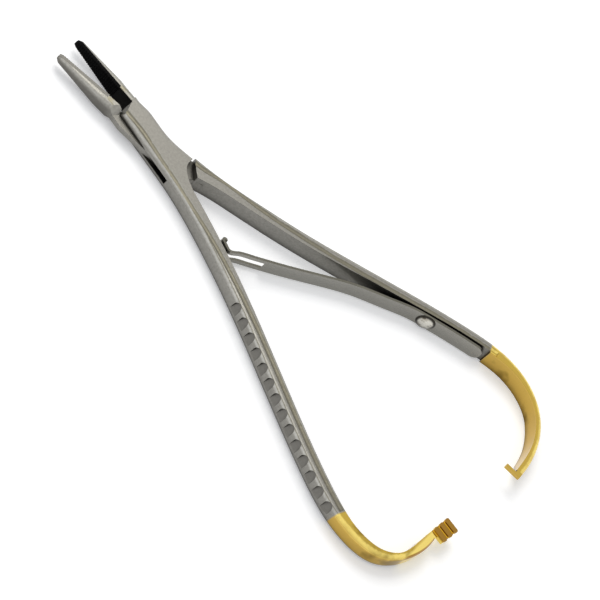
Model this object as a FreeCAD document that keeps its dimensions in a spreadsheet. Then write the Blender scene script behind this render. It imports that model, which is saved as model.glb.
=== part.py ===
import FreeCAD, Part
import math
import os
import Sketcher
from FreeCAD import Matrix, Placement, Rotation, Vector

# Palm-grip needle holder with a box lock, 140 mm long, lying flat.
# +X runs along the centre line to the jaw tips, +Z is up, the pivot axis is X = Y = 0
# and Z = 0 is the face that it rests on.
# Each half is drawn closed, with the jaws shut on Y = 0, and is then turned about the
# pivot by half of the opening angle to the open rest position.

doc = FreeCAD.newDocument("needle_holder")
sheet = doc.addObject("Spreadsheet::Sheet", "sizes")

SIZES = [
    # body and pivot
    ("body_height", 4.8),
    ("open_angle", 11.0),
    ("pin_radius", 1.3),
    ("pin_clearance", 0.04),
    ("plate_thickness", 1.6),
    ("slot_clearance", 0.05),
    ("box_half_width", 3.45),
    ("box_right_half_width", 3.05),
    ("box_front_radius", 12.4),
    ("box_front_clearance", 0.25),
    ("box_rear_reach", 6.4),
    # handles
    ("handle_length", 92.0),
    ("handle_spread", 23.85),
    ("shank_width", 3.4),
    ("grip_width", 3.1),
    ("bow_width", 1.8),
    ("edge_round", 1.2),
    ("box_round", 1.0),
    ("female_bow_reach", 11.6),
    ("male_bow_reach", 15.3),
    # flutes and top groove
    ("flute_count", 14),
    ("flute_pitch", 3.74),
    ("flute_width", 2.4),
    ("flute_depth", 0.6),
    ("flute_reach", 2.6),
    ("flute_tilt", 17.0),
    ("flute_start", 39.5),
    ("groove_radius", 1.1),
    ("groove_depth", 0.25),
    # jaws
    ("jaw_length", 31.0),
    ("jaw_root", 13.0),
    ("jaw_root_half_width", 2.64),
    ("jaw_bend", 18.2),
    ("jaw_bend_half_width", 2.68),
    ("jaw_tip_half_width", 1.55),
    ("jaw_round", 1.6),
    ("jaw_tip_height", 2.1),
    ("jaw_gap", 0.1),
    ("throat_gap", 0.7),
    ("insert_length", 14.2),
    ("insert_thickness", 0.9),
    ("serration_pitch", 0.6),
    ("serration_depth", 0.12),
    # ratchet
    ("tooth_count", 3),
    ("tooth_pitch", 2.0),
    ("tooth_length", 3.9),
    ("tooth_height", 0.6),
    ("tooth_first_y", 1.25),
    ("ratchet_top", 3.9),
    ("ratchet_thickness", 1.5),
    ("pawl_length", 4.2),
    ("pawl_width", 0.8),
    ("pawl_height", 0.95),
    # spring, rivet and keeper
    ("spring_thickness", 0.6),
    ("spring_width", 4.2),
    ("spring_stand_off", 1.2),
    ("spring_bend_station", 27.6),
    ("window_height", 2.0),
    ("window_length", 9.7),
    ("curl_radius", 0.65),
    ("spring_seat", 0.03),
    ("spring_bed", 0.1),
    ("recess_depth", 0.75),
    ("recess_lean", 0.35),
    ("recess_front", 42.1),
    ("recess_rear", 86.2),
    ("rivet_station", 70.3),
    ("rivet_head_radius", 2.4),
    ("rivet_head_height", 0.8),
    ("rivet_shank_radius", 0.9),
    ("rivet_shank_length", 1.8),
    ("rivet_clearance", 0.01),
    ("keeper_station", 25.5),
    ("keeper_collar_radius", 1.2),
    ("keeper_collar_height", 0.6),
    ("keeper_neck_radius", 0.75),
    ("keeper_head_radius", 1.25),
    ("keeper_stand", 2.1),
    ("keeper_depth", 1.6),
]
for row, (alias, value) in enumerate(SIZES, start=1):
    sheet.set("A%d" % row, alias)
    sheet.set("B%d" % row, str(value))
    sheet.setAlias("B%d" % row, alias)
doc.recompute()


def size(alias):
    return float(sheet.get(alias))


HEIGHT = size("body_height")
MID = HEIGHT / 2
HALF_OPEN = size("open_angle") / 2
SLOT_LOW = size("plate_thickness")
SLOT_HIGH = HEIGHT - size("plate_thickness")
Z_AXIS = Vector(0, 0, 1)
OPEN_FEMALE = Placement(Vector(0, 0, 0), Rotation(Z_AXIS, -HALF_OPEN))
OPEN_MALE = Placement(Vector(0, 0, 0), Rotation(Z_AXIS, HALF_OPEN))

# Shape of the handle's inner edge: station along the handle and spread, both as shares
# of the widest point, where the bow begins.
HANDLE_SHAPE = [
    (0.236, 0.149),
    (0.396, 0.312),
    (0.529, 0.478),
    (0.668, 0.662),
    (0.798, 0.826),
    (0.925, 0.960),
    (1.000, 1.000),
]
# Shape of each bow from the widest point to the arm's end: share of its reach along X, and
# share of the handle's spread. The last point is the end of the arm.
FEMALE_BOW = [(0.41, 0.974), (0.63, 0.932), (0.80, 0.868), (0.925, 0.785), (0.995, 0.56),
              (1.0, 0.32)]
MALE_BOW = [(0.49, 0.923), (0.68, 0.837), (0.83, 0.707), (0.94, 0.55), (0.995, 0.34),
            (1.0, 0.13)]
# The free stretch of the spring as shares of the straight span from the last bedded point
# to the bend, with its bow to the front side.
FREE_SPRING = [(0.144, 0.0176), (0.311, 0.0341), (0.49, 0.0322), (0.689, 0.0223), (0.871, 0.0192),
               (0.941, 0.0193)]

# Ends of the two arms and half the width of a ratchet tooth, as rules over the sizes
ARM_X = "-(sizes.handle_length + sizes.female_bow_reach)"
ARM_Y = "0.32 * sizes.handle_spread"
PAWL_X = "-(sizes.handle_length + sizes.male_bow_reach)"
PAWL_Y = "-0.13 * sizes.handle_spread"
TOOTH_HALF = "0.34 * sizes.tooth_pitch"


def interpolated(points, z=0.0):
    curve = Part.BSplineCurve()
    curve.interpolate([Vector(x, y, z) for x, y in points])
    return curve


def plan_face(edges):
    return Part.Face(Part.Wire(Part.__sortEdges__(edges)))


def polyline_edges(points):
    corners = [Vector(x, y, 0) for x, y in points]
    return [Part.makeLine(a, b) for a, b in zip(corners, corners[1:])]


def slab(face, low, high):
    solid = face.extrude(Vector(0, 0, high - low))
    solid.translate(Vector(0, 0, low))
    return solid


def mirrored_y(shape):
    return shape.mirror(Vector(0, 0, 0), Vector(0, 1, 0))


def mirrored_z(shape):
    return shape.mirror(Vector(0, 0, MID), Z_AXIS)


def handle_points(bow_reach, bow_shape):
    length = size("handle_length")
    spread = size("handle_spread")
    points = [(-length * along, spread * out) for along, out in HANDLE_SHAPE]
    points += [(-length - bow_reach * along, spread * out) for along, out in bow_shape]
    return points


class InnerEdge:
    """The handle's inner edge as a curve that can be read by station."""

    def __init__(self, lead, bow_reach, bow_shape):
        self.points = lead + handle_points(bow_reach, bow_shape)
        self.bow_turn = Vector(*self.points[-4], 0)
        self.curve = interpolated(self.points)
        self.edge = self.curve.toShape()

    def parameter(self, station):
        # stations are distances behind the pivot along X, in front of the bow
        low = self.curve.FirstParameter
        high = self.curve.parameter(Vector(-size("handle_length"), size("handle_spread"), 0))
        for _ in range(40):
            middle = (low + high) / 2
            if -self.curve.value(middle).x < station:
                low = middle
            else:
                high = middle
        return (low + high) / 2

    def place(self, parameter, out=0.0):
        point = self.curve.value(parameter)
        along = self.curve.tangent(parameter)[0]
        along.normalize()
        outward = Z_AXIS.cross(along) * -1
        return point + outward * out, along, outward

    def at(self, station, out=0.0):
        return self.place(self.parameter(station), out)


def handle_width(edge, parameter):
    # shank width at the box, grip width along the flutes, thin flat bow at the end
    start = edge.curve.FirstParameter
    grip = edge.parameter(0.88 * size("handle_length"))
    bow = edge.curve.parameter(edge.bow_turn)
    if parameter <= grip:
        share = (parameter - start) / (grip - start)
        return size("shank_width") + share * (size("grip_width") - size("shank_width"))
    share = min(1.0, (parameter - grip) / (bow - grip))
    blend = share * share * (3 - 2 * share)
    return size("grip_width") + blend * (size("bow_width") - size("grip_width"))


def outer_points(edge, stations):
    # the outer edge is the inner edge moved out by the local width
    first = edge.curve.FirstParameter
    last = edge.curve.LastParameter
    start = edge.parameter(18.0)
    points = []
    for index in range(stations + 1):
        parameter = start + (last - start) * index / stations
        point = edge.place(parameter, handle_width(edge, parameter))[0]
        points.append((point.x, point.y))
    return points


def jaw():
    # one jaw on the -Y side, closed: D-shaped section that tapers to a small blunt tip
    def section(x, height, outer, inner, corner):
        low = MID - height / 2
        high = MID + height / 2
        bend = corner * (1 - math.sqrt(0.5))
        a = Vector(x, -inner, low)
        b = Vector(x, -outer + corner, low)
        c = Vector(x, -outer, low + corner)
        d = Vector(x, -outer, high - corner)
        e = Vector(x, -outer + corner, high)
        f = Vector(x, -inner, high)
        turn_low = Vector(x, -outer + bend, low + bend)
        turn_high = Vector(x, -outer + bend, high - bend)
        edges = [
            Part.makeLine(a, b),
            Part.Arc(b, turn_low, c).toShape(),
            Part.makeLine(c, d),
            Part.Arc(d, turn_high, e).toShape(),
            Part.makeLine(e, f),
            Part.makeLine(f, a),
        ]
        return Part.Wire(edges)

    inner = size("throat_gap") / 2
    nose = 0.9
    root = section(size("jaw_root"), HEIGHT, size("jaw_root_half_width"), inner,
                   size("jaw_round"))
    tip_x = size("jaw_length") - nose
    share = (size("jaw_bend") - size("jaw_root")) / (tip_x - size("jaw_root"))
    height = HEIGHT + share * (size("jaw_tip_height") - HEIGHT)
    middle = section(size("jaw_bend"), height, size("jaw_bend_half_width"), inner, 0.34 * height)
    tip = section(tip_x, size("jaw_tip_height"), size("jaw_tip_half_width"), inner,
                  0.42 * size("jaw_tip_height"))
    end = section(size("jaw_length"), 0.55 * size("jaw_tip_height"),
                  0.62 * size("jaw_tip_half_width"), inner, 0.22 * size("jaw_tip_height"))
    solid = Part.makeLoft([root, middle], True, True)
    return solid.fuse([Part.makeLoft([middle, tip], True, True),
                       Part.makeLoft([tip, end], True, True)])


def insert_seat():
    # pocket for the hard-metal insert, open at the jaw's inner face and tip
    depth = size("jaw_gap") / 2 + size("insert_thickness")
    start = size("jaw_length") - size("insert_length")
    return Part.makeBox(size("insert_length") + 5, depth + 5, HEIGHT + 4,
                        Vector(start, -depth, -2))


def fillet_plan_edges(solid, curve_points, radius, shortest=40):
    # rounds the top and bottom edges that follow the given plan curve
    probe = interpolated(curve_points)
    chosen = []
    for edge in solid.Edges:
        if edge.Length < shortest:
            continue
        middle = edge.valueAt((edge.FirstParameter + edge.LastParameter) / 2)
        flat = Vector(middle.x, middle.y, 0)
        near = probe.value(probe.parameter(flat))
        if (near - flat).Length < 0.01:
            chosen.append(edge)
    return solid.makeFillet(radius, chosen)


def flute_cutter():
    # thumbnail pocket in local axes: X along the handle, Y down the rounded corner, Z out
    half = size("flute_width") / 2
    reach = size("flute_reach")
    shoulder = 0.25 * half
    left = Vector(-half, shoulder, 0)
    right = Vector(half, shoulder, 0)
    edges = [
        Part.makeLine(Vector(-half, reach, 0), left),
        Part.Arc(left, Vector(0, shoulder - half, 0), right).toShape(),
        Part.makeLine(right, Vector(half, reach, 0)),
        Part.makeLine(Vector(half, reach, 0), Vector(-half, reach, 0)),
    ]
    return Part.Face(Part.Wire(edges)).extrude(Vector(0, 0, 1.6))


def flutes(edge, lower):
    # a row of finger pockets in the outer rounded corner, of the top or of the lower face
    corner = size("edge_round")
    tilt = math.radians(size("flute_tilt"))
    cutters = []
    blank = flute_cutter()
    parameter = edge.parameter(size("flute_start"))
    for _ in range(int(size("flute_count"))):
        width = handle_width(edge, parameter)
        point, along, outward = edge.place(parameter, width - corner)
        out = outward * math.cos(tilt) + Z_AXIS * math.sin(tilt)
        down = outward * math.sin(tilt) - Z_AXIS * math.cos(tilt)
        floor = point + Vector(0, 0, HEIGHT - corner) + out * (corner - size("flute_depth"))
        cutter = blank.copy()
        cutter.Placement = local_frame(floor, down.cross(out), out)
        cutters.append(mirrored_z(cutter) if lower else cutter)
        start = edge.curve.length(edge.curve.FirstParameter, parameter)
        parameter = edge.curve.parameterAtDistance(start + size("flute_pitch"),
                                                   edge.curve.FirstParameter)
    return cutters


def groove_tools(points):
    # a shallow round-bottomed groove along the top face, and the same one below
    radius = size("groove_radius")
    level = HEIGHT + radius - size("groove_depth")
    path = interpolated(points, level)
    start = path.value(path.FirstParameter)
    along = path.tangent(path.FirstParameter)[0]
    ring = Part.Wire(Part.makeCircle(radius, start, along))
    tube = Part.Wire(path.toShape()).makePipeShell([ring], True, False)
    return [tube, mirrored_z(tube)]


def groove_points(edge, front):
    points = list(front)
    stations = [(14.5, 2.7), (23.7, 1.95), (34, 1.5), (48, 1.05), (64, 0.9), (80, 0.85),
                (88, 0.8)]
    for share, out in stations:
        place = edge.at(size("handle_length") * share / 92.0, out)[0]
        points.append((place.x, place.y))
    return points


def front_bevel(radius, half):
    # slanted facet on the box's front edge that grows from the crotch to the left corner
    crotch = Vector(radius, 0, HEIGHT)
    top_left = Vector(radius - 1.75, half, HEIGHT)
    low_left = Vector(radius - 0.6, half, SLOT_HIGH)
    normal = (top_left - crotch).cross(low_left - crotch)
    normal.normalize()
    if normal.x < 0:
        normal = normal * -1
    along = top_left - crotch
    along.normalize()
    block = Part.makeBox(20, 20, 6, Vector(-10, -10, 0))
    block.Placement = local_frame(crotch, along, normal)
    reach = Part.makeBox(6, 6, HEIGHT - SLOT_HIGH + 1, Vector(radius - 3, 0, SLOT_HIGH))
    bevel = block.common(reach)
    return [bevel, mirrored_z(bevel)]


def jaw_root_facet(clear):
    # slanted facet that rises from the tongue to the jaw's top face, above and below
    root = size("jaw_root")
    inner_top = Vector(root + 0.54, -0.1, HEIGHT)
    outer_top = Vector(root + 2.85, -2.44, HEIGHT)
    foot = Vector(root - 0.5, -1.6, SLOT_HIGH)
    along = outer_top - inner_top
    along.normalize()
    normal = along.cross(foot - inner_top)
    normal.normalize()
    if normal.z < 0:
        normal = normal * -1
    block = Part.makeBox(20, 20, 8, Vector(-10, -10, 0))
    block.Placement = local_frame(inner_top, along, normal)
    reach = Part.makeBox(8, 8, HEIGHT - SLOT_HIGH + clear + 1,
                         Vector(root - 4, -6, SLOT_HIGH - clear))
    facet = block.common(reach)
    return [facet, mirrored_z(facet)]


def arm_taper(edge):
    # the male arm rises to the pawl bar in its last few millimetres
    end_x, end_y = edge.points[-1]
    top = HEIGHT - 1.1 * size("pawl_height")
    outline = [(end_y + 4.6, -1), (end_y + 4.2, 0), (end_y + 0.6, top), (end_y - 2, top),
               (end_y - 2, -1)]
    corners = [Vector(end_x - 6, y, z) for y, z in outline + [outline[0]]]
    return Part.Face(Part.makePolygon(corners)).extrude(Vector(10, 0, 0))


def build_female():
    half = size("box_half_width")
    right_half = size("box_right_half_width")
    reach = size("box_rear_reach")
    radius = size("box_front_radius")
    lead = [(-1.8 * reach, 0.41 * half)]
    edge = InnerEdge(lead, size("female_bow_reach"), FEMALE_BOW)
    inner = -size("throat_gap") / 2
    root = size("jaw_root")
    root_out = -size("jaw_root_half_width")
    left_angle = math.asin((half + 0.05) / radius)
    front_left = (radius * math.cos(left_angle), radius * math.sin(left_angle))
    front_low = (math.sqrt(radius ** 2 - inner ** 2), inner)
    front_mid = (radius * math.cos(left_angle / 2), radius * math.sin(left_angle / 2))
    outer = [front_left, (0.5 * radius, half + 0.3), (0, half + 0.6), (-reach, half + 0.95)]
    outer += outer_points(edge, 13)
    arm_inner = edge.points[-1]
    rear = [(-0.875 * reach, -half - 1.25), (-0.9 * reach, -half + 0.2),
            (-0.98 * reach, -0.46 * half), (-1.17 * reach, -0.11 * half),
            (-1.44 * reach, 0.17 * half), lead[0]]
    right = [(root, root_out), (root - 1.5, root_out + 0.05), (root - 3.7, -right_half + 0.05),
             (root - 6.6, -right_half), (1.5, -right_half + 0.1),
             (-0.35 * reach, -right_half - 0.65), rear[0]]
    edges = [
        Part.makeLine(Vector(root, inner, 0), Vector(*front_low, 0)),
        Part.Arc(Vector(*front_low, 0), Vector(*front_mid, 0), Vector(*front_left, 0)).toShape(),
        interpolated(outer).toShape(),
        Part.makeLine(Vector(*outer[-1], 0), Vector(*arm_inner, 0)),
        edge.edge,
        interpolated(rear).toShape(),
        interpolated(right).toShape(),
        Part.makeLine(Vector(root, root_out, 0), Vector(root, inner, 0)),
    ]
    body = slab(plan_face(edges), 0, HEIGHT)
    body = fillet_plan_edges(body, outer, size("edge_round"))
    body = fillet_plan_edges(body, right, size("box_round"), 8)
    body = body.fuse(jaw().cut(insert_seat()))
    # slot for the tongue, open on both sides of the box
    slot = [(root + 2, 6), (-reach, 6), (-reach, 2.0), (-1.47 * reach, 0.42), (-14, -9),
            (0.3, -9), (0.3, -right_half - 0.2), (1.5, -right_half + 0.35), (12.3, -0.2),
            (root + 2, -0.2)]
    slot_face = plan_face(polyline_edges(slot + [slot[0]]))
    body = body.cut(slab(slot_face, SLOT_LOW, SLOT_HIGH))
    front = [(radius + 1, 2.8), (9.4, 2.57), (5.6, 2.45), (0.6, 3.0), (-3.4, 3.4), (-8.8, 3.95)]
    body = body.cut(front_bevel(radius, half))
    body = body.cut(groove_tools(groove_points(edge, front)))
    body = body.cut(flutes(edge, False))
    return body.removeSplitter(), edge


def build_male():
    # drawn like the female half, handle on +Y and jaw on -Y, and mirrored at the end
    half = size("box_half_width")
    right_half = size("box_right_half_width")
    reach = size("box_rear_reach")
    lead = [(-1.56 * reach, 0.0), (-14.7, 1.72)]
    edge = InnerEdge(lead, size("male_bow_reach"), MALE_BOW)
    shoulder = [(-1.055 * reach, 1.25 * half), (-1.19 * reach, 0.75 * half),
                (-1.41 * reach, 0.26 * half), lead[0]]
    outer = [shoulder[0], (-9.5, 1.33 * half)]
    outer += outer_points(edge, 13)
    arm_inner = edge.points[-1]
    edges = [
        interpolated(outer).toShape(),
        Part.makeLine(Vector(*outer[-1], 0), Vector(*arm_inner, 0)),
        edge.edge,
        interpolated(shoulder).toShape(),
    ]
    handle = slab(plan_face(edges), 0, HEIGHT)
    handle = fillet_plan_edges(handle, outer, size("edge_round"))
    # thin tongue through the box
    clear = size("slot_clearance")
    root = size("jaw_root")
    jaw_out = size("jaw_root_half_width")
    tongue = [(root + 0.6, -0.35), (12.4, -0.1), (1.5, right_half - 0.7), (0.2, right_half - 0.15),
              (-reach - 0.4, 1.1 * half), (-9.5, 1.1 * half), (-1.56 * reach - 2, 0.7),
              (-1.56 * reach, 0.05), (-0.97 * reach, -1.75), (-1.0, -half + 0.15),
              (3.0, -half - 0.05), (10.5, -half + 0.02), (root + 0.6, -jaw_out)]
    tongue_face = plan_face(polyline_edges(tongue + [tongue[0]]))
    tongue_solid = slab(tongue_face, SLOT_LOW + clear, SLOT_HIGH - clear)
    # jaw root, faceted down to the tongue and cut clear of the box's swinging front
    jaw_solid = jaw().cut(insert_seat())
    stub = Part.makeBox(1.5, jaw_out + inner_y(), HEIGHT, Vector(root - 1.5, -jaw_out, 0))
    stub = stub.makeFillet(size("edge_round"), [e for e in stub.Edges if is_long_x(e, -jaw_out)])
    swing = size("box_front_radius") + size("box_front_clearance")
    swing_cut = Part.makeCylinder(swing, HEIGHT, Vector(0, 0, SLOT_HIGH - clear))
    front = jaw_solid.fuse(stub).cut(jaw_root_facet(clear) + [swing_cut, mirrored_z(swing_cut)])
    body = handle.fuse([tongue_solid, front])
    groove_front = [(-4.0, 3.2), (-9.0, 2.9)]
    body = body.cut(groove_tools(groove_points(edge, groove_front)))
    body = body.cut(flutes(edge, True))
    body = body.cut(arm_taper(edge))
    body = body.cut(spring_recess(edge))
    return body.removeSplitter(), edge


def inner_y():
    return -size("throat_gap") / 2


def is_long_x(edge, y):
    a = edge.Vertexes[0].Point
    b = edge.Vertexes[-1].Point
    return abs(a.y - y) < 1e-6 and abs(b.y - y) < 1e-6 and abs(a.z - b.z) < 1e-6


def spring_recess(edge):
    # the spring beds in a relief along the handle's inner face: it runs out towards the box,
    # and its floor leans so that it is deeper at the top
    depth = size("recess_depth")
    front = size("recess_front")
    rear = size("recess_rear")
    span = rear - front

    def outline(level, lean):
        floor = []
        for along, share in [(-0.1, -0.2), (0, 0), (0.18, 0.16), (0.32, 0.42), (0.46, 0.62),
                             (0.64, 0.82), (0.78, 1.0), (0.9, 1.0), (1, 1.0)]:
            place = edge.at(front + span * along, depth * share - lean)[0]
            floor.append((place.x, place.y))
        far_rear = edge.at(rear, -4.0)[0]
        far_front = edge.at(front - 0.1 * span, -4.0)[0]
        lift = Vector(0, 0, level)
        corners = [Vector(*floor[-1], 0) + lift, far_rear + lift, far_front + lift,
                   Vector(*floor[0], 0) + lift]
        edges = [interpolated(floor, level).toShape()]
        edges += [Part.makeLine(a, b) for a, b in zip(corners, corners[1:])]
        return Part.Wire(edges)

    slope = size("recess_lean") / HEIGHT
    return Part.makeLoft([outline(-1, size("recess_lean") + slope),
                          outline(HEIGHT + 1, -slope)], True, True)


def local_frame(point, x_axis, z_axis):
    y_axis = z_axis.cross(x_axis)
    return Placement(Matrix(x_axis.x, y_axis.x, z_axis.x, point.x,
                            x_axis.y, y_axis.y, z_axis.y, point.y,
                            x_axis.z, y_axis.z, z_axis.z, point.z,
                            0, 0, 0, 1))


def flipped(vector):
    return Vector(vector.x, -vector.y, vector.z)


def rivet_frame(edge):
    # local Z points from the spring's back towards the other handle
    point, along, outward = edge.at(size("rivet_station"), size("spring_bed"))
    return local_frame(flipped(point) + Vector(0, 0, MID), flipped(along), flipped(outward) * -1)


def keeper_frame(edge):
    point, along, outward = edge.at(size("keeper_station"))
    return local_frame(point + Vector(0, 0, MID), along, outward * -1)


def build_spring(male_edge, female_edge):
    # plan centre line at rest: bedded in the male handle, then free across the gap to the
    # female handle, where it bends forward past the keeper and ends in a small curl
    half_t = size("spring_thickness") / 2
    seat = size("spring_bed") - half_t
    bend_station = size("spring_bend_station")

    def on_male(station, out):
        place = male_edge.at(station, out)[0]
        return OPEN_MALE.multVec(Vector(place.x, -place.y, 0))

    def on_female(station):
        place = female_edge.at(station, -size("spring_stand_off"))[0]
        return OPEN_FEMALE.multVec(place)

    rivet = size("rivet_station")
    rear = size("recess_rear") - 1.2
    bedded = [on_male(s, seat) for s in (rear, 0.7 * rear + 0.3 * rivet,
                                         0.35 * rear + 0.65 * rivet, rivet, rivet - 3.0)]
    bend_point = on_female(bend_station)
    span = bend_point - bedded[-1]
    sideways = Vector(span.y, -span.x, 0)
    free = [bedded[-1] + span * along + sideways * across
            for along, across in FREE_SPRING]
    main = Part.BSplineCurve()
    main.interpolate(bedded + free)
    slope = main.tangent(main.LastParameter)[0]
    slope.normalize()
    lip_start = on_female(bend_station - 1.2)
    lip_end = on_female(bend_station - 3.3)
    lip_dir = lip_end - lip_start
    lip_dir.normalize()
    bend = Part.BSplineCurve()
    bend.interpolate([free[-1], lip_start], InitialTangent=slope * 3.2, FinalTangent=lip_dir * 3.2)
    lip = Part.LineSegment(lip_start, lip_end)
    radius = size("curl_radius") - half_t
    side = Vector(lip_dir.y, -lip_dir.x, 0)
    centre = lip_end + side * radius

    def curl_point(angle):
        a = math.radians(angle)
        return centre + lip_dir * (radius * math.sin(a)) - side * (radius * math.cos(a))

    curl = Part.Arc(lip_end, curl_point(115), curl_point(230))
    path = [main.toShape(), bend.toShape(), lip.toShape(), curl.toShape()]
    low = MID - size("spring_width") / 2
    solid = slab(thicken(path, half_t), low, low + size("spring_width"))
    # rounded tail
    tail = bedded[0]
    corners = [e for e in solid.Edges if e.Length < 2 * half_t + 0.01 and
               (Vector(e.CenterOfMass.x, e.CenterOfMass.y, 0) - tail).Length < 0.05]
    solid = solid.makeFillet(0.45 * size("spring_width"), corners)
    # long window that lets the spring slide over the keeper
    window = size("window_height")
    start = lip_end.x - 0.2
    opening = Part.makeBox(size("window_length"), 16, window,
                           Vector(start - size("window_length"), bend_point.y - 12,
                                  MID - window / 2))
    solid = solid.cut(opening)
    hole = Part.makeCylinder(size("rivet_shank_radius") + size("rivet_clearance"), 6)
    hole.Placement = RIVET_REST.multiply(Placement(Vector(0, 0, -3), Rotation()))
    return solid.cut(hole)


def thicken(path, half_t):
    # strip of the given half thickness on both sides of a smooth path
    left = []
    right = []
    last_point = None
    for edge in path:
        count = max(5, int(edge.Length / 2.5))
        first = edge.FirstParameter
        step = (edge.LastParameter - first) / count
        for index in range(count + 1):
            point = edge.valueAt(first + index * step)
            if last_point is not None and (point - last_point).Length < 0.05:
                continue
            last_point = point
            along = edge.tangentAt(first + index * step)
            side = Vector(-along.y, along.x, 0)
            side.normalize()
            left.append(point + side * half_t)
            right.append(point - side * half_t)
    a = Part.BSplineCurve()
    a.interpolate(left)
    b = Part.BSplineCurve()
    b.interpolate(right)
    edges = [a.toShape(), Part.makeLine(left[-1], right[-1]), b.toShape(),
             Part.makeLine(right[0], left[0])]
    return plan_face(edges)


def bound(kind, name, **rules):
    item = doc.addObject(kind, name)
    for prop, rule in rules.items():
        item.setExpression(prop.replace("__", "."), rule)
    return item


def shaped(name, shape):
    item = doc.addObject("Part::Feature", name)
    item.Shape = shape
    return item


def joined(kind, name, **links):
    item = doc.addObject(kind, name)
    for prop, value in links.items():
        setattr(item, prop, value)
    return item


def round_pin(name, radius_rule, length_rule):
    # straight pin: a circle padded along Z
    body = doc.addObject("PartDesign::Body", name)
    sketch = body.newObject("Sketcher::SketchObject", name + "_section")
    plane = [item for item in body.Origin.OriginFeatures if item.Role == "XY_Plane"][0]
    sketch.AttachmentSupport = [(plane, "")]
    sketch.MapMode = "FlatFace"
    sketch.addGeometry(Part.Circle(Vector(0, 0, 0), Z_AXIS, 1.0))
    sketch.addConstraint(Sketcher.Constraint("Coincident", 0, 3, -1, 1))
    sketch.addConstraint(Sketcher.Constraint("Radius", 0, 1.0))
    sketch.setExpression("Constraints[1]", radius_rule)
    pad = body.newObject("PartDesign::Pad", name + "_pad")
    pad.Profile = sketch
    pad.setExpression("Length", length_rule)
    return body


def saw_teeth():
    # steep faces towards the arm, gentle slopes that the pawl climbs, and rounded ends
    teeth = []
    for index in range(int(size("tooth_count"))):
        name = "tooth_%d_" % (index + 1)
        wedge = bound("Part::Wedge", name + "slope",
                      Xmin="-sizes.tooth_length", Xmax="0 mm",
                      X2min="-sizes.tooth_length", X2max="0 mm",
                      Ymin="-0.1 mm", Ymax="sizes.tooth_height",
                      Zmin="-" + TOOTH_HALF, Zmax=TOOTH_HALF,
                      Z2min="-" + TOOTH_HALF, Z2max="0.3 * sizes.tooth_pitch")
        wedge.Placement = Placement(Vector(0, 0, 0), Rotation(Vector(1, 0, 0), 90))
        ends = [bound("Part::Cylinder", name + end, Radius=TOOTH_HALF,
                      Height="sizes.tooth_height + 0.2",
                      Placement__Base__x=place, Placement__Base__z="-0.1 mm")
                for end, place in (("front", "-" + TOOTH_HALF),
                                   ("back", "-sizes.tooth_length + " + TOOTH_HALF))]
        middle = bound("Part::Box", name + "middle", Length="sizes.tooth_length - 2 * " + TOOTH_HALF,
                       Width="2 * " + TOOTH_HALF, Height="sizes.tooth_height + 0.2",
                       Placement__Base__x="-sizes.tooth_length + " + TOOTH_HALF,
                       Placement__Base__y="-" + TOOTH_HALF, Placement__Base__z="-0.1 mm")
        outline = joined("Part::MultiFuse", name + "outline", Shapes=ends + [middle])
        tooth = joined("Part::Common", name + "land", Base=wedge, Tool=outline)
        tooth.setExpression("Placement.Base.x", ARM_X + " + 0.3")
        tooth.setExpression("Placement.Base.y", "sizes.tooth_first_y + %d * sizes.tooth_pitch"
                            % index)
        tooth.setExpression("Placement.Base.z", "sizes.ratchet_top - sizes.tooth_height")
        teeth.append(tooth)
    return teeth


female_shape, female_edge = build_female()
male_shape, male_edge = build_male()
RIVET_PLACE = rivet_frame(male_edge)
RIVET_REST = OPEN_MALE.multiply(RIVET_PLACE)
KEEPER_PLACE = keeper_frame(female_edge)

# female half: forging, ratchet and bores
female_forging = shaped("female_forging", female_shape)
plate = bound("Part::Box", "ratchet_plate",
              Length="sizes.tooth_length - 0.4",
              Width="sizes.tooth_count * sizes.tooth_pitch - 0.5",
              Height="sizes.ratchet_thickness - sizes.tooth_height",
              Placement__Base__x=ARM_X + " + 0.5 - sizes.tooth_length",
              Placement__Base__y="sizes.tooth_first_y - 0.5 * sizes.tooth_pitch + 0.25",
              Placement__Base__z="sizes.ratchet_top - sizes.ratchet_thickness")
neck = bound("Part::Box", "ratchet_neck",
             Length="sizes.bow_width",
             Width=ARM_Y + " - sizes.tooth_first_y",
             Height="sizes.ratchet_thickness - sizes.tooth_height",
             Placement__Base__x=ARM_X + " - sizes.bow_width + 0.15",
             Placement__Base__y="sizes.tooth_first_y + 0.25",
             Placement__Base__z="sizes.ratchet_top - sizes.ratchet_thickness")
pin_bore = bound("Part::Cylinder", "female_pin_bore", Radius="sizes.pin_radius",
                 Height="sizes.body_height + 2", Placement__Base__z="-1 mm")
keeper_bore = bound("Part::Cylinder", "keeper_bore", Radius="sizes.keeper_neck_radius",
                    Height="sizes.keeper_depth + 3")
keeper_bore.Placement = KEEPER_PLACE.multiply(
    Placement(Vector(0, 0, -size("keeper_depth")), Rotation()))
female_parts = joined("Part::MultiFuse", "female_stock",
                      Shapes=[female_forging, plate, neck] + saw_teeth())
female_bores = joined("Part::MultiFuse", "female_bores", Shapes=[pin_bore, keeper_bore])
female_half = joined("Part::Cut", "female_half", Base=female_parts, Tool=female_bores)
female_half.Placement = OPEN_FEMALE

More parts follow.
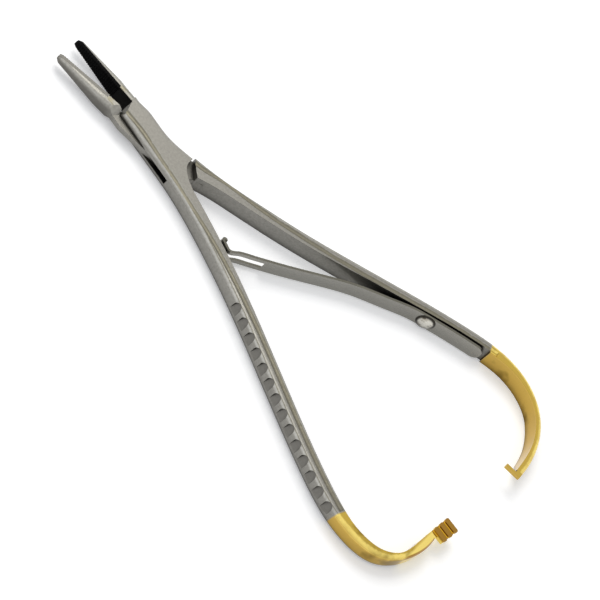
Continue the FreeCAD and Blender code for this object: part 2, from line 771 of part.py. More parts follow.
# male half: forging, pawl and bores
male_forging = shaped("male_forging", mirrored_y(male_shape))
pawl_bar = bound("Part::Box", "pawl_bar",
                 Length="sizes.pawl_length", Width="sizes.pawl_width", Height="sizes.pawl_height",
                 Placement__Base__x=PAWL_X + " - sizes.bow_width + 0.2",
                 Placement__Base__y=PAWL_Y + " + 1.4 - sizes.pawl_width",
                 Placement__Base__z="sizes.body_height - sizes.pawl_height")
pawl_link = bound("Part::Box", "pawl_link",
                  Length="sizes.bow_width - 0.3", Width="1.4 mm",
                  Height="sizes.pawl_height",
                  Placement__Base__x=PAWL_X + " - sizes.bow_width + 0.2",
                  Placement__Base__y=PAWL_Y + " - 0.1",
                  Placement__Base__z="sizes.body_height - sizes.pawl_height")
running_bore = bound("Part::Cylinder", "running_bore",
                     Radius="sizes.pin_radius + sizes.pin_clearance",
                     Height="sizes.body_height + 2", Placement__Base__z="-1 mm")
rivet_bore = bound("Part::Cylinder", "rivet_bore",
                   Radius="sizes.rivet_shank_radius + sizes.rivet_clearance",
                   Height="sizes.rivet_shank_length + 3")
rivet_bore.Placement = RIVET_PLACE.multiply(
    Placement(Vector(0, 0, -size("rivet_shank_length") - 0.05), Rotation()))
rivet_seat = bound("Part::Cylinder", "rivet_seat", Radius="sizes.rivet_head_radius - 0.9",
                   Height="sizes.recess_depth")
rivet_seat.Placement = RIVET_PLACE.multiply(
    Placement(Vector(0, 0, -size("recess_depth") - size("spring_seat")), Rotation()))
male_parts = joined("Part::MultiFuse", "male_stock",
                    Shapes=[male_forging, pawl_bar, pawl_link, rivet_seat])
male_bores = joined("Part::MultiFuse", "male_bores", Shapes=[running_bore, rivet_bore])
male_half = joined("Part::Cut", "male_half", Base=male_parts, Tool=male_bores)
male_half.Placement = OPEN_MALE

# pivot pin, ground flush with both faces
pivot_pin = round_pin("pivot_pin", "sizes.pin_radius", "sizes.body_height")
pivot_pin.Placement = OPEN_FEMALE


# hard-metal inserts with cross-cut faces
def insert(name, half_name):
    blank = shaped(half_name + "_jaw_profile", jaw().fuse(jaw_inner_slab()))
    plate_box = bound("Part::Box", half_name + "_insert_plate",
                      Length="sizes.insert_length - 0.02",
                      Width="sizes.insert_thickness - 0.02", Height="sizes.body_height",
                      Placement__Base__x="sizes.jaw_length - sizes.insert_length + 0.02",
                      Placement__Base__y="-sizes.jaw_gap / 2 - sizes.insert_thickness + 0.02")
    tile = joined("Part::Common", half_name + "_insert_tile", Base=plate_box, Tool=blank)
    notches = shaped(half_name + "_serrations", serrations())
    return joined("Part::Cut", name, Base=tile, Tool=notches)


def jaw_inner_slab():
    # carries the jaw's outline inwards to the insert's working face
    shape = jaw()
    return shape.translated(Vector(0, size("throat_gap") / 2 - size("jaw_gap") / 2, 0))


def serrations():
    # fine V grooves straight across the working face
    pitch = size("serration_pitch")
    depth = size("serration_depth")
    face_y = -size("jaw_gap") / 2
    grooves = []
    x = size("jaw_length") - size("insert_length") + pitch
    while x < size("jaw_length") - pitch:
        corners = [Vector(x - 0.35 * pitch, face_y + 0.01, -1), Vector(x, face_y - depth, -1),
                   Vector(x + 0.35 * pitch, face_y + 0.01, -1)]
        face = Part.Face(Part.makePolygon(corners + [corners[0]]))
        grooves.append(face.extrude(Vector(0, 0, HEIGHT + 2)))
        x += pitch
    return Part.makeCompound(grooves)


female_insert = insert("female_jaw_insert", "female")
female_insert.Placement = OPEN_FEMALE
male_insert = insert("male_jaw_insert", "male")
# the male jaw lies on the other side of the centre line, so its insert is turned over
male_insert.Placement = OPEN_MALE.multiply(
    Placement(Vector(0, 0, HEIGHT), Rotation(Vector(1, 0, 0), 180)))

# spring, rivet and keeper
leaf_spring = shaped("leaf_spring", build_spring(male_edge, female_edge))

seat_level = "(sizes.spring_thickness + sizes.spring_seat)"
shank = bound("Part::Cylinder", "rivet_shank", Radius="sizes.rivet_shank_radius",
              Height="sizes.rivet_shank_length + " + seat_level + " + 0.2",
              Placement__Base__z="-sizes.rivet_shank_length")
DOME = "((sizes.rivet_head_radius ^ 2 + sizes.rivet_head_height ^ 2) / (2 * sizes.rivet_head_height))"
dome_ball = bound("Part::Sphere", "rivet_dome_ball", Radius=DOME,
                  Placement__Base__z=seat_level + " + sizes.rivet_head_height - " + DOME)
dome_disc = bound("Part::Cylinder", "rivet_dome_disc", Radius="sizes.rivet_head_radius + 0.5",
                  Height="sizes.rivet_head_height + 0.5", Placement__Base__z=seat_level)
dome = joined("Part::Common", "rivet_dome", Base=dome_ball, Tool=dome_disc)
spring_rivet = joined("Part::MultiFuse", "spring_rivet", Shapes=[shank, dome])
spring_rivet.Placement = RIVET_REST

stud = bound("Part::Cylinder", "keeper_neck", Radius="sizes.keeper_neck_radius",
             Height="sizes.keeper_depth + sizes.keeper_stand - 0.1",
             Placement__Base__z="-sizes.keeper_depth + 0.02")
collar = bound("Part::Cylinder", "keeper_collar", Radius="sizes.keeper_collar_radius",
               Height="sizes.keeper_collar_height", Placement__Base__z="0.02 mm")
cap = bound("Part::Cylinder", "keeper_cap", Radius="sizes.keeper_head_radius", Height="0.4 mm",
            Placement__Base__z="sizes.keeper_stand - 0.4")
spring_keeper = joined("Part::MultiFuse", "spring_keeper", Shapes=[stud, collar, cap])
spring_keeper.Placement = OPEN_FEMALE.multiply(KEEPER_PLACE)

doc.recompute()

SUBPARTS = [female_half, male_half, pivot_pin, female_insert, male_insert, leaf_spring,
            spring_rivet, spring_keeper]
for item in doc.Objects:
    if "Invalid" in item.State or "Error" in item.State:
        raise RuntimeError("%s did not recompute" % item.Name)
os.makedirs("parts", exist_ok=True)
for item in SUBPARTS:
    if item.Shape.isNull() or not item.Shape.isValid():
        raise RuntimeError("%s has no valid shape" % item.Label)
    print("%-18s %2d solid  %8.2f mm3" % (item.Label, len(item.Shape.Solids), item.Shape.Volume))
    item.Shape.exportStep("parts/%s.step" % item.Label)
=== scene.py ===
# %% [markdown]
# # Palm-grip needle holder
# A satin stainless needle holder lies open on a white table: two forged halves crossing in a box
# lock, black hard-metal jaw inserts, a leaf spring between the handles, and gold-plated ends that
# carry a ratchet and its pawl. The solids come from the imported model, and what repeats on this
# tool, the finger flutes, the ratchet teeth and the jaws' serration, is cut into them there. This
# script gives each solid its surface, cuts the spring into short steps, and adds the light and the
# camera.
import bmesh
import bpy
import math
from mathutils import Matrix, Vector


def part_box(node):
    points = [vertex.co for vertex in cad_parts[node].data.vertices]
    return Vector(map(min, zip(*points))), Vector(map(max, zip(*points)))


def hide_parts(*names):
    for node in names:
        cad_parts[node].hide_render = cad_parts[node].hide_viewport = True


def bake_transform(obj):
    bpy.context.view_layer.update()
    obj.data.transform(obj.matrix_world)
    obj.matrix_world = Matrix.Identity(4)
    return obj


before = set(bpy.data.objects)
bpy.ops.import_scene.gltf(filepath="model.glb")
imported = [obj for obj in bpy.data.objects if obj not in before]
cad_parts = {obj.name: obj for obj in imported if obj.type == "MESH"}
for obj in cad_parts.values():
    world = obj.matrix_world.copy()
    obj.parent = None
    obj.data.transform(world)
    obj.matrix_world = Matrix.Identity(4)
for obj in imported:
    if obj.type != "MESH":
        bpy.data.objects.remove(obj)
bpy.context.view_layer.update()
print("solids", sorted(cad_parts))

# %% [markdown]
# ## Colours and nodes
# A colour is written as the hex value that it has on screen and turned into linear light. One
# function adds a shader node with its settings, constants and links, and hands back one output.
# %% Colour, node and material helpers
def linear(hex_colour):
    values = []
    for start in (1, 3, 5):
        c = int(hex_colour[start:start + 2], 16) / 255
        values.append(c / 12.92 if c <= 0.04045 else ((c + 0.055) / 1.055) ** 2.4)
    return (*values, 1.0)


def add_node(tree, kind, inputs=None, output=0, **settings):
    node = tree.nodes.new("ShaderNode" + kind)
    for name, value in settings.items():
        setattr(node, name, value)
    for name, value in (inputs or {}).items():
        if isinstance(value, bpy.types.NodeSocket):
            tree.links.new(value, node.inputs[name])
        else:
            node.inputs[name].default_value = value
    return node.outputs[output]


def new_material(name, **shader_inputs):
    material = bpy.data.materials.new(name)
    material.use_nodes = True
    tree = material.node_tree
    shader = tree.nodes["Principled BSDF"]
    for key, value in shader_inputs.items():
        shader.inputs[key.replace("_", " ")].default_value = value
    return material, tree, shader


print("mid grey in linear light", round(linear("#808080")[0], 3))

# %% [markdown]
# ## Coats and bands
# A surface colour could be one long chain of mixes. Here it is built coat over coat, some coats
# real finish and some painted light and shade. Each coat follows a measure of the surface, such as
# how level it is, how far along the tool it lies or how closed in it is, and covers more between
# two limits of it.
# %% Coats and bands
OFF_TO_ON = (0.0, 1.0)


def coated(tree, colour, *coats):
    for measure, (bare, covered), strength, coat in coats:
        mask = add_node(tree, "MapRange", {"Value": measure, "From Min": bare,
                                           "From Max": covered, "To Max": strength})
        colour = add_node(tree, "Mix", {0: mask, 6: colour, 7: coat}, 2, data_type="RGBA")
    return colour


def inside(tree, value, low, high, soft):
    # 1 between low and high, with soft ends
    rise = add_node(tree, "MapRange", {"Value": value, "From Min": low - soft,
                                       "From Max": low + soft})
    fall = add_node(tree, "MapRange", {"Value": value, "From Min": high + soft,
                                       "From Max": high - soft})
    return add_node(tree, "Math", {0: rise, 1: fall}, operation="MULTIPLY")


print("a coat is a measure, its two limits, a strength and a colour")

# %% [markdown]
# ## What a surface knows about itself
# Both halves are single forgings, so their finishes can't be told apart by piece. A material can
# read its own place on the tool, which way a face looks and how closed in it is. Which way a face
# looks sets painted light and shade, and how closed in it is sets painted shade in the gaps. All of
# it is read in the solid's own coordinates, so the finish and the painted shade stay put when the
# handles close.
# %% Measures of a forging's surface
# how near another face must be before a face gets painted shade
SHADE_REACH = 0.0022
SIDE_TO_TOP = (0.15, 0.85)
TOP_TO_LEVEL = (0.965, 0.990)
OPEN_TO_CLOSED = (0.93, 0.25)


def measures(tree):
    place = add_node(tree, "TexCoord", output="Object")
    facing = add_node(tree, "TexCoord", output="Normal")
    upward = add_node(tree, "SeparateXYZ", {"Vector": facing}, "Z")
    return {
        "place": place,
        "x": add_node(tree, "SeparateXYZ", {"Vector": place}, "X"),
        "z": add_node(tree, "SeparateXYZ", {"Vector": place}, "Z"),
        "level": add_node(tree, "Math", {0: upward}, operation="ABSOLUTE"),
        # ambient occlusion: how closed in a point is, for the painted shade in gaps
        "occlusion": add_node(tree, "AmbientOcclusion", {"Distance": SHADE_REACH}, "AO", samples=8),
        "cloud": add_node(tree, "TexNoise", {"Vector": place, "Scale": 160.0, "Detail": 3.0}),
    }


print("a face within", SHADE_REACH * 1000, "mm of another starts to darken")

# %% [markdown]
# ## Satin stainless steel
# The forgings are stainless steel, blasted with fine glass beads. That gives a soft grey without
# streaks, mid grey on the level faces. Light and shade are painted over it: lighter sides as
# painted light, paler rounded edges where they catch the light as a painted highlight, darker jaw
# sides, a tan painted shade in the long groove, a darker painted shade on the flute floors, and
# black painted shade in the narrow gaps. The groove has a round section, so on its floor the height
# above the middle and the lean of the surface always add up to the same level, and one sum finds it
# anywhere along the curved handle. Marks of fine beads are some hundredths of a millimetre wide,
# too fine for the picture, so they are drawn at about half a millimetre.
# %% Satin steel colour
SATIN = linear("#83817B")
# painted highlight on the rounded edges
SATIN_EDGE_HIGHLIGHT = linear("#A3A19A")
# painted light: the sides are lighter than the level faces
SATIN_LIT_SIDE = linear("#908E88")
# painted shade on the jaws' sides
SATIN_JAW_SIDE_SHADE = linear("#6C6A65")
# painted shade on the groove floor, tan
SATIN_GROOVE_SHADE = linear("#7B7768")
# painted shade on the flute floors
SATIN_FLUTE_SHADE = linear("#75736E")
# black painted shade in the narrow gaps
SATIN_GAP_SHADE = linear("#1E1C19")
SATIN_GRAIN = linear("#5C5A55")
FORGING_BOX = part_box("female_half")
HALF_HEIGHT = (FORGING_BOX[1][2] - FORGING_BOX[0][2]) / 2
GROOVE_RADIUS = 0.0011
GROOVE_DEPTH = 0.00025
GROOVE_LEVEL = HALF_HEIGHT + GROOVE_RADIUS - GROOVE_DEPTH
GROOVE_BAND = 0.00006
FLUTE_FLOOR = (0.275, 0.310)
JAW_START = (0.0115, 0.0150)
GRAIN_SCALE = 1900.0


def groove_floor(tree, on):
    above = add_node(tree, "Math", {0: on["z"], 1: HALF_HEIGHT}, operation="SUBTRACT")
    off_middle = add_node(tree, "Math", {0: above}, operation="ABSOLUTE")
    section = add_node(tree, "Math", {0: on["level"], 1: GROOVE_RADIUS, 2: off_middle},
                       operation="MULTIPLY_ADD")
    return inside(tree, section, GROOVE_LEVEL - GROOVE_BAND, GROOVE_LEVEL + GROOVE_BAND,
                  GROOVE_BAND / 2)


def satin_colour(tree, on):
    grain = add_node(tree, "TexNoise", {"Vector": on["place"], "Scale": GRAIN_SCALE,
                                        "Detail": 3.0})
    flute_floor = inside(tree, on["level"], *FLUTE_FLOOR, 0.006)
    # painted light and shade by the way a face looks, painted shade in the groove, on the flute
    # floors and in the gaps; only the grain is real
    return coated(tree, SATIN_LIT_SIDE,
                  (on["x"], JAW_START, 1.0, SATIN_JAW_SIDE_SHADE),
                  (on["level"], SIDE_TO_TOP, 1.0, SATIN_EDGE_HIGHLIGHT),
                  (on["level"], TOP_TO_LEVEL, 1.0, SATIN),
                  (groove_floor(tree, on), OFF_TO_ON, 1.0, SATIN_GROOVE_SHADE),
                  (flute_floor, OFF_TO_ON, 1.0, SATIN_FLUTE_SHADE),
                  (grain, (0.35, 0.75), 0.35, SATIN_GRAIN),
                  (on["occlusion"], OPEN_TO_CLOSED, 1.0, SATIN_GAP_SHADE))


print("groove level", round(GROOVE_LEVEL * 1000, 3), "mm above the middle plane")

# %% [markdown]
# ## Gold plating
# Gold-coloured ends mark an instrument with hard-metal inserts. The plating is thin and polished.
# Its light is painted into the colour: a painted highlight on the edges, a painted shade on the
# sides, slow clouds of painted reflection that keep its reflections from looking computed, and
# black painted shade in the gaps. Its border could be painted on the mesh, but a plane across the
# handle with a little wobble is closer to the edge that masking leaves.
# %% Gold colour and its border
GOLD = linear("#C2A549")
# painted highlight on the edges
GOLD_HIGHLIGHT = linear("#F0D777")
# painted shade on the sides, also laid on in slow clouds as painted reflection
GOLD_SIDE_SHADE = linear("#BF9F4E")
# black painted shade in the narrow gaps
GOLD_GAP_SHADE = linear("#4A390F")
# dark painted reflection, laid on in slow clouds
GOLD_DARK_REFLECTION = linear("#6B5419")
BORDER_WOBBLE = 0.0003
BORDER_START = 0.00035
BORDER_END = -0.00005


def gold_colour(tree, on):
    # painted highlight on the edges, painted shade on the sides and in the gaps, clouds of painted
    # reflection
    return coated(tree, GOLD_SIDE_SHADE,
                  (on["level"], SIDE_TO_TOP, 1.0, GOLD_HIGHLIGHT),
                  (on["level"], TOP_TO_LEVEL, 1.0, GOLD),
                  (on["cloud"], (0.50, 0.30), 1.0, GOLD_SIDE_SHADE),
                  (on["cloud"], (0.54, 0.66), 0.6, GOLD_DARK_REFLECTION),
                  (on["occlusion"], OPEN_TO_CLOSED, 1.0, GOLD_GAP_SHADE))


def plated_part(tree, on, border_point, border_normal):
    border = Vector(border_point).dot(Vector(border_normal))
    wobble = add_node(tree, "TexNoise", {"Vector": on["place"], "Scale": 500.0})
    along = add_node(tree, "VectorMath", {0: on["place"], 1: Vector(border_normal)}, "Value",
                     operation="DOT_PRODUCT")
    edge = add_node(tree, "Math", {0: wobble, 1: BORDER_WOBBLE, 2: along},
                    operation="MULTIPLY_ADD")
    return add_node(tree, "MapRange", {"Value": edge, "From Min": border + BORDER_START,
                                       "From Max": border + BORDER_END})


print("the gold fades in over", round((BORDER_START - BORDER_END) * 1000, 2), "mm")

# %% [markdown]
# ## Brown lands, bright block and painted shade in the throat
# Only the female forging shows these. Its ratchet block takes the gold of the painted highlight,
# the flat lands of its ratchet teeth read as a deep orange brown against the bright gold, and the
# deep throat beside its jaw insert gets a painted shade as black as the insert. They are found by
# where they lie. The throat is measured along and across the jaw, which is turned from the model's
# X and Y by half of the opening.
# %% Ratchet and throat marks
LAND_BROWN = linear("#865510")
# painted shade: the deep throat is coloured as black as the insert
THROAT_SHADE = linear("#0F0E0D")
HALF_OPEN = math.radians(5.5)
JAW_ALONG = Vector((math.cos(HALF_OPEN), -math.sin(HALF_OPEN), 0.0))
JAW_ACROSS = Vector((math.sin(HALF_OPEN), math.cos(HALF_OPEN), 0.0))
BLOCK_START = (-0.1020, -0.1026)
LAND_HEIGHTS = (0.0034, 0.0045)
LAND_SOFT = 0.0001
THROAT_SIDE = (-0.00060, -0.00050)
THROAT_START = (0.0125, 0.0126)


def ratchet_and_throat(tree, on, steel, plating):
    masks = []
    for measure, (bare, covered) in (
            (on["x"], BLOCK_START),
            (add_node(tree, "VectorMath", {0: on["place"], 1: JAW_ACROSS}, "Value",
                      operation="DOT_PRODUCT"), THROAT_SIDE),
            (add_node(tree, "VectorMath", {0: on["place"], 1: JAW_ALONG}, "Value",
                      operation="DOT_PRODUCT"), THROAT_START)):
        masks.append(add_node(tree, "MapRange", {"Value": measure, "From Min": bare,
                                                 "From Max": covered}))
    block, throat_side, throat_length = masks
    band = inside(tree, on["z"], *LAND_HEIGHTS, LAND_SOFT)
    lands = add_node(tree, "Math", {0: band, 1: block}, operation="MULTIPLY")
    throat = add_node(tree, "Math", {0: throat_side, 1: throat_length}, operation="MULTIPLY")
    # the whole ratchet block takes the painted-highlight gold, and the throat a black painted shade
    plating = coated(tree, plating, (block, OFF_TO_ON, 1.0, GOLD_HIGHLIGHT),
                     (lands, OFF_TO_ON, 0.85, LAND_BROWN))
    return coated(tree, steel, (throat, OFF_TO_ON, 1.0, THROAT_SHADE)), plating


print("ratchet block from x", BLOCK_START[0] * 1000, "mm")

# %% [markdown]
# ## The forged halves
# The two finishes meet in one material for each half, because each half is one forging. Steel and
# gold are both metals here, so only the colour, the roughness and the bump change at the border:
# bead-blasted steel scatters light, and polished gold mirrors it.
# %% Forged half material
STEEL_ROUGH = (0.34, 0.44)
GOLD_ROUGH = 0.10
STEEL_BUMP = 0.12
GOLD_BUMP = 0.03
BUMP_DEPTH = 0.00004
SPECKLE_SCALE = 5200.0


def forged_half(name, border_point, border_normal, with_ratchet=False):
    material, tree, shader = new_material(name, Metallic=1.0, Roughness=0.4, Base_Color=SATIN)
    on = measures(tree)
    gold = plated_part(tree, on, border_point, border_normal)
    steel, plating = satin_colour(tree, on), gold_colour(tree, on)
    if with_ratchet:
        steel, plating = ratchet_and_throat(tree, on, steel, plating)
    speckle = add_node(tree, "TexNoise", {"Vector": on["place"], "Scale": SPECKLE_SCALE,
                                          "Detail": 2.0})
    blasted = add_node(tree, "Mix", {0: on["cloud"], 2: STEEL_ROUGH[0], 3: STEEL_ROUGH[1]})
    bump = {"Height": add_node(tree, "Mix", {0: gold, 2: speckle, 3: on["cloud"]}),
            "Strength": add_node(tree, "Mix", {0: gold, 2: STEEL_BUMP, 3: GOLD_BUMP}),
            "Distance": BUMP_DEPTH}
    for socket, value in (
            ("Base Color", coated(tree, steel, (gold, OFF_TO_ON, 1.0, plating))),
            ("Roughness", add_node(tree, "Mix", {0: gold, 2: blasted, 3: GOLD_ROUGH})),
            ("Normal", add_node(tree, "Bump", bump))):
        tree.links.new(value, shader.inputs[socket])
    return material


def dress(node_name, material):
    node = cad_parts[node_name]
    node.data.materials.clear()
    node.data.materials.append(material)


dress("female_half", forged_half("Satin_steel_gold_end_female", (-0.0857, 0.0321, 0),
                                 (0.930, -0.367, 0), with_ratchet=True))
dress("male_half", forged_half("Satin_steel_gold_end_male", (-0.0836, -0.0312, 0),
                               (0.930, 0.367, 0)))
# the pin is ground flush and blasted with the halves: its border lies off the tool, so no gold
dress("pivot_pin", forged_half("Satin_steel_pin", (-1.0, 0, 0), (1.0, 0, 0)))
print("dressed both halves and the pin")

# %% [markdown]
# ## Spring strip
# The leaf spring is hardened strip, cold rolled, then bent. Rolling leaves fine lines along the
# strip, which pull the highlights out sideways; a noise stretched along the strip gives such lines
# at low cost. Its top edge, which faces up, carries a darker painted shade than its faces.
# %% Rolled spring steel
STRIP_FACE = linear("#8F8D86")
# painted shade on the edge that faces up
STRIP_EDGE_SHADE = linear("#66645B")
ROLLING_LINES = (200.0, 200.0, 5000.0)


def rolled_strip():
    material, tree, shader = new_material("Rolled_spring_steel", Metallic=1.0, Roughness=0.3,
                                          Base_Color=STRIP_FACE)
    place = add_node(tree, "TexCoord", output="Object")
    facing = add_node(tree, "TexCoord", output="Normal")
    upward = add_node(tree, "SeparateXYZ", {"Vector": facing}, "Z")
    stretched = add_node(tree, "Mapping", {"Vector": place, "Scale": ROLLING_LINES})
    lines = add_node(tree, "TexNoise", {"Vector": stretched, "Scale": 1.0, "Detail": 2.0})
    bump = {"Height": lines, "Strength": 0.1, "Distance": 0.00003}
    # the up-facing edge is darkened as painted shade
    for socket, value in (
            ("Base Color", coated(tree, STRIP_FACE, (upward, (0.3, 0.8), 1.0, STRIP_EDGE_SHADE))),
            ("Roughness", add_node(tree, "MapRange", {"Value": lines, "From Min": -0.4,
                                                      "From Max": 3.0})),
            ("Normal", add_node(tree, "Bump", bump))):
        tree.links.new(value, shader.inputs[socket])
    return material


STRIP = rolled_strip()
print("strip material", STRIP.name)

# %% [markdown]
# ## Rivet and keeper
# Both are turned from steel and polished, so they shine more than the blasted steel around them.
# The eye reads the rivet by the dark line where its domed head meets the strip, a painted shade,
# and by dull patches on the dome, a painted reflection. That line is drawn from the distance to
# the rivet's axis, which is the length of a cross product.
# %% Polished steel
RIVET_CENTRE = Vector((-0.06823, -0.02526, 0.00240))
RIVET_AXIS = Vector((-0.3827, 0.9239, 0.0))
RING_RADII = (0.00185, 0.0026)
RING_SOFT = 0.00018
DOME_BRIGHT = linear("#C8C5BC")
# painted reflection: dull patches on the dome
DOME_DARK_REFLECTION = linear("#7C766A")
# painted shade in the ring where the head meets the strip
RING_SHADE = linear("#35332E")


def polished_steel():
    material, tree, shader = new_material("Polished_steel", Metallic=1.0, Roughness=0.14,
                                          Base_Color=linear("#A5A39D"))
    place = add_node(tree, "TexCoord", output="Object")
    arm = add_node(tree, "VectorMath", {0: place, 1: RIVET_CENTRE}, operation="SUBTRACT")
    sweep = add_node(tree, "VectorMath", {0: arm, 1: RIVET_AXIS}, operation="CROSS_PRODUCT")
    radius = add_node(tree, "VectorMath", {0: sweep}, "Value", operation="LENGTH")
    patch = add_node(tree, "TexNoise", {"Vector": place, "Scale": 620.0})
    # dull patches of painted reflection and a ring of painted shade
    colour = coated(tree, DOME_BRIGHT, (patch, (0.45, 0.60), 1.0, DOME_DARK_REFLECTION),
                    (inside(tree, radius, *RING_RADII, RING_SOFT), OFF_TO_ON, 1.0, RING_SHADE))
    tree.links.new(colour, shader.inputs["Base Color"])
    scuffs = add_node(tree, "TexNoise", {"Vector": place, "Scale": 2500.0})
    tree.links.new(add_node(tree, "MapRange", {"Value": scuffs, "From Min": -0.5,
                                               "From Max": 3.5}), shader.inputs["Roughness"])
    return material


POLISHED = polished_steel()
for name in ("spring_rivet", "spring_keeper"):
    dress(name, POLISHED)
print("ring between", RING_RADII[0] * 1000, "and", RING_RADII[1] * 1000, "mm from the axis")

# %% [markdown]
# ## Jaw inserts
# The inserts are sintered tungsten carbide with a cut face that holds a needle. On this tool they
# are a dull black to the eye, so the material is set up as a non-metal that barely shines.
# The solid has straight grooves across its face. Two crossed waves draw a diamond pattern over
# them, as a bump only, because the real cut is too fine to show in the picture as shape. On the
# male insert the upper and lower edges are ground flush with the jaw and show bare metal.
# %% Cross-cut hard metal
CUT_ANGLE = math.radians(35.0)
CUT_SCALE = 520.0
CUT_BUMP = 0.5
BARE_EDGE = (0.45, 0.6)


def hard_metal(name, ground_flush):
    material, tree, shader = new_material(name, Metallic=0.0, Roughness=0.6,
                                          Base_Color=linear("#0A0A09"),
                                          Specular_IOR_Level=0.04)
    place = add_node(tree, "TexCoord", output="Object")
    cuts = []
    for turn in (CUT_ANGLE, -CUT_ANGLE):
        turned = add_node(tree, "Mapping", {"Vector": place, "Rotation": (0.0, turn, 0.0)})
        cuts.append(add_node(tree, "TexWave", {"Vector": turned, "Scale": CUT_SCALE,
                                               "Distortion": 0.4}, "Fac"))
    lattice = add_node(tree, "Math", {0: cuts[0], 1: cuts[1]}, operation="MINIMUM")
    colour = coated(tree, linear("#020202"), (lattice, OFF_TO_ON, 1.0, linear("#0B0A0A")))
    depth = CUT_BUMP
    if ground_flush:
        facing = add_node(tree, "TexCoord", output="Normal")
        upward = add_node(tree, "SeparateXYZ", {"Vector": facing}, "Z")
        level = add_node(tree, "Math", {0: upward}, operation="ABSOLUTE")
        bare = add_node(tree, "MapRange", {"Value": level, "From Min": BARE_EDGE[0],
                                           "From Max": BARE_EDGE[1]})
        # the bare steel edges take the flute floors' painted-shade tone
        colour = coated(tree, colour, (bare, OFF_TO_ON, 1.0, SATIN_FLUTE_SHADE))
        depth = add_node(tree, "Mix", {0: bare, 2: CUT_BUMP, 3: 0.0})
        tree.links.new(bare, shader.inputs["Metallic"])
    tree.links.new(colour, shader.inputs["Base Color"])
    tree.links.new(add_node(tree, "Bump", {"Height": lattice, "Strength": depth,
                                           "Distance": 0.0001}), shader.inputs["Normal"])
    return material


dress("female_jaw_insert", hard_metal("Cross_cut_black_hard_metal", ground_flush=False))
dress("male_jaw_insert", hard_metal("Black_hard_metal_ground_flush", ground_flush=True))
print("dressed", len(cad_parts) - 1, "of", len(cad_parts), "solids, the spring is next")

# %% [markdown]
# ## The leaf spring
# The real spring flexes when the handles close: it follows the male half where it is riveted and
# the female half where it slides on the keeper. A rigid copy would cut through a handle. Here the
# solid is copied and cut across at short steps, which gives it enough points along its length for
# a blend between the two halves.
# %% Leaf spring cut into short steps
STEP = 0.0012


def flexing_spring():
    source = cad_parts["leaf_spring"]
    mesh = bmesh.new()
    mesh.from_mesh(source.data)
    low, high = (Vector(corner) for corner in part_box("leaf_spring"))
    x = low.x + STEP
    while x < high.x:
        every = mesh.verts[:] + mesh.edges[:] + mesh.faces[:]
        bmesh.ops.bisect_plane(mesh, geom=every, plane_co=(x, 0, 0), plane_no=(1, 0, 0),
                               dist=1e-6)
        x += STEP
    data = bpy.data.meshes.new("Leaf_spring")
    mesh.to_mesh(data)
    mesh.free()
    spring = bpy.data.objects.new("Leaf_spring", data)
    bpy.context.collection.objects.link(spring)
    data.materials.clear()
    data.materials.append(STRIP)
    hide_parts("leaf_spring")
    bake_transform(spring)
    return spring


spring = flexing_spring()
print("spring faces", len(spring.data.polygons))

# %% [markdown]
# ## Table
# A white table catches a soft shadow. More light would burn out the metal before the table turned
# white, so the light stays plain and the table glows a little, but only for the camera and for
# what the metal mirrors. The shadow stays, because the glow is the same all over.
# %% Table
TABLE_HALF = 3.0
TABLE_LIFT = 0.28


def seen_or_mirrored(tree):
    seen = add_node(tree, "LightPath", output="Is Camera Ray")
    for kind in ("Is Glossy Ray", "Is Transmission Ray"):
        ray = add_node(tree, "LightPath", output=kind)
        seen = add_node(tree, "Math", {0: seen, 1: ray}, operation="MAXIMUM")
    return seen


def table():
    corners = [(x * TABLE_HALF, y * TABLE_HALF, 0) for x, y in ((-1, -1), (1, -1), (1, 1), (-1, 1))]
    data = bpy.data.meshes.new("Table")
    data.from_pydata(corners, [], [(0, 1, 2, 3)])
    top = bpy.data.objects.new("Table", data)
    bpy.context.collection.objects.link(top)
    material, tree, shader = new_material("White_table", Roughness=0.9,
                                          Base_Color=linear("#F4F5F7"),
                                          Specular_IOR_Level=0.1,
                                          Emission_Color=(1.0, 1.0, 1.0, 1.0))
    glow = add_node(tree, "Math", {0: seen_or_mirrored(tree), 1: TABLE_LIFT},
                    operation="MULTIPLY")
    tree.links.new(glow, shader.inputs["Emission Strength"])
    data.materials.append(material)
    return top


print("table", table().name, 2 * TABLE_HALF, "m square")

# %% [markdown]
# ## Lamps
# A large soft box stands behind the tool, above the top of the picture, so the shadows fall
# towards the viewer and the rounded edges catch a broad, soft highlight. A weaker, cooler lamp
# from the left opens up the sides.
# %% Lamps
LIT_POINT = (-0.04, 0.0, 0.0)


def area_light(name, place, width, height, power, colour):
    data = bpy.data.lights.new(name, "AREA")
    data.shape = "RECTANGLE"
    data.size = width
    data.size_y = height
    data.energy = power
    data.color = linear(colour)[:3]
    light = bpy.data.objects.new(name, data)
    light.location = place
    toward = Vector(LIT_POINT) - Vector(place)
    light.rotation_euler = toward.to_track_quat("-Z", "Y").to_euler()
    bpy.context.collection.objects.link(light)
    return light


LAMPS = [area_light("Soft_box", (0.46, -0.50, 0.80), 0.7, 0.7, 6.5, "#FFFDF8"),
         area_light("Fill", (0.45, 0.60, 0.55), 0.7, 0.5, 1.2, "#F3F7FF")]
print("lamps", [lamp.name for lamp in LAMPS])

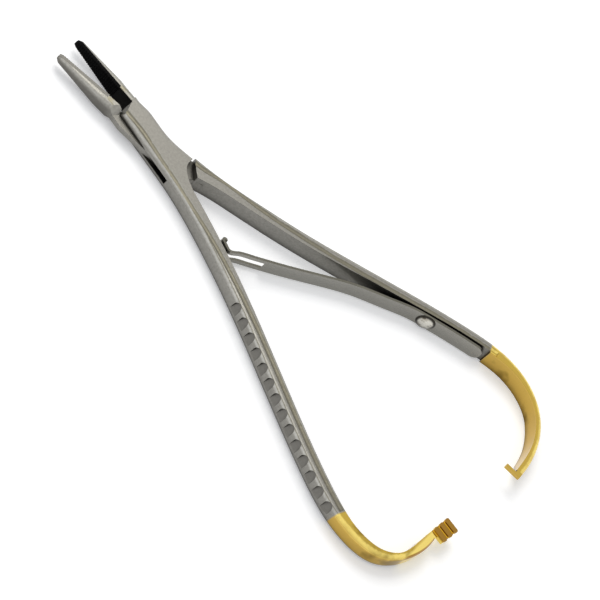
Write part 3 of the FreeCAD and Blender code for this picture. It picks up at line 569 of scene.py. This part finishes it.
# %% [markdown]
# ## World
# The camera and the mirror-like metal see a white studio of strength 1. The light that the world
# gives is weaker, and stronger from above than from the sides, as under a pale ceiling.
# %% World
ROOM_LIGHT = (0.25, 0.62)
world = bpy.data.worlds.new("Studio")
bpy.context.scene.world = world
world.use_nodes = True
world_tree = world.node_tree
direction = add_node(world_tree, "TexCoord", output="Generated")
upward = add_node(world_tree, "SeparateXYZ", {"Vector": direction}, "Z")
room = add_node(world_tree, "MapRange", {"Value": upward, "To Min": ROOM_LIGHT[0],
                                         "To Max": ROOM_LIGHT[1]})
backdrop = world_tree.nodes["Background"]
backdrop.inputs["Color"].default_value = (1.0, 1.0, 1.0, 1.0)
strength = add_node(world_tree, "Mix", {0: seen_or_mirrored(world_tree), 2: room, 3: 1.0})
world_tree.links.new(strength, backdrop.inputs["Strength"])
print("room light", ROOM_LIGHT)

# %% [markdown]
# ## Camera
# A long lens, nearly parallel: the tool is seen from its ratchet handle's side at 49 degrees, and
# the picture is turned 45 degrees, so the jaws point to the upper left. The pivot lies off the
# picture's centre, and the view is turned away from it by that much, as a photographer who
# frames the whole tool does.
# %% Camera
FRAME_PIXELS = 600.0
PIVOT_PIXEL = (165.35, 146.55)
FOCAL_PIXELS = 3699.72
SENSOR_MM = 36.0
ELEVATION = math.radians(48.62)
AZIMUTH = math.radians(93.92)
ROLL = math.radians(44.99)
DISTANCE = 0.82339
PIVOT_TOP = Vector((0.0, 0.0, 0.0048))


def camera_axes():
    outward = Vector((math.cos(ELEVATION) * math.cos(AZIMUTH),
                      math.cos(ELEVATION) * math.sin(AZIMUTH), math.sin(ELEVATION)))
    level = (-outward).cross(Vector((0, 0, 1))).normalized()
    upright = level.cross(-outward)
    right = level * math.cos(ROLL) + upright * math.sin(ROLL)
    up = upright * math.cos(ROLL) - level * math.sin(ROLL)
    return right, up, outward


def place_camera():
    data = bpy.data.cameras.new("Camera")
    data.sensor_width = SENSOR_MM
    data.lens = SENSOR_MM * FOCAL_PIXELS / FRAME_PIXELS
    data.clip_start = 0.05
    camera = bpy.data.objects.new("Camera", data)
    bpy.context.collection.objects.link(camera)
    bpy.context.scene.camera = camera
    right, up, outward = camera_axes()
    half = FRAME_PIXELS / 2
    pivot_ray = Vector(((PIVOT_PIXEL[0] - half) / FOCAL_PIXELS,
                        (half - PIVOT_PIXEL[1]) / FOCAL_PIXELS, 1.0)).normalized()
    turn = Vector((0, 0, 1)).rotation_difference(pivot_ray).to_matrix()
    axes = turn @ Matrix((right, up, -outward))
    pose = Matrix((axes[0], axes[1], -axes[2])).transposed().to_4x4()
    pose.translation = PIVOT_TOP + outward * DISTANCE
    camera.matrix_world = pose
    return camera


print("camera lens", round(place_camera().data.lens, 1), "mm")
bpy.context.scene.view_settings.view_transform = "Standard"
